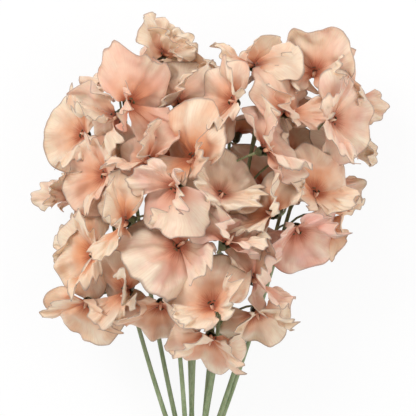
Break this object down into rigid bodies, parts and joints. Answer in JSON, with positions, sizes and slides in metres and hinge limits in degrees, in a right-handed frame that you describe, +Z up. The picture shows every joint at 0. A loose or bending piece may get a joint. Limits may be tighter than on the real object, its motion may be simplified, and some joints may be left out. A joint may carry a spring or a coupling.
{
  "type": "bunch of sweet pea flowers",
  "caption": "Bunch of cut, ruffled sweet pea stems in full bloom, held together by a rubber band and lying on its side.",
  "frame": {"origin": "centre of the bunch's box in X and Y, on the surface it lies on", "axes": "+Y from the cut ends to the flowers, +Z up, +X to the right of the bunch seen from above with the flowers away"},
  "size_m": [0.2266, 0.3818, 0.158],
  "materials": {
    "petal": "soft matte petal, blush to peach",
    "stem": "smooth satin green stalk",
    "band": "matte natural rubber"
  },
  "bodies": {
    "root": {"stem_01": "stem", "flower_01_1": "petal", "flower_01_2": "petal", "flower_01_3": "petal", "flower_01_4": "petal", "flower_01_5": "petal", "stem_02": "stem", "flower_02_1": "petal", "flower_02_2": "petal", "flower_02_3": "petal", "flower_02_4": "petal", "flower_02_5": "petal", "stem_03": "stem", "flower_03_1": "petal", "flower_03_2": "petal", "flower_03_3": "petal", "flower_03_4": "petal", "stem_04": "stem", "flower_04_1": "petal", "flower_04_2": "petal", "flower_04_3": "petal", "flower_04_4": "petal", "flower_04_5": "petal", "stem_05": "stem", "flower_05_1": "petal", "flower_05_2": "petal", "flower_05_3": "petal", "flower_05_4": "petal", "stem_06": "stem", "flower_06_1": "petal", "flower_06_2": "petal", "flower_06_3": "petal", "flower_06_4": "petal", "flower_06_5": "petal", "stem_07": "stem", "flower_07_1": "petal", "flower_07_2": "petal", "flower_07_3": "petal", "flower_07_4": "petal", "stem_08": "stem", "flower_08_1": "petal", "flower_08_2": "petal", "flower_08_3": "petal", "flower_08_4": "petal", "flower_08_5": "petal", "stem_09": "stem", "flower_09_1": "petal", "flower_09_2": "petal", "flower_09_3": "petal", "flower_09_4": "petal", "flower_09_5": "petal", "stem_10": "stem", "flower_10_1": "petal", "flower_10_2": "petal", "flower_10_3": "petal", "flower_10_4": "petal", "rubber_band": "band"}
  },
  "joints": []
}
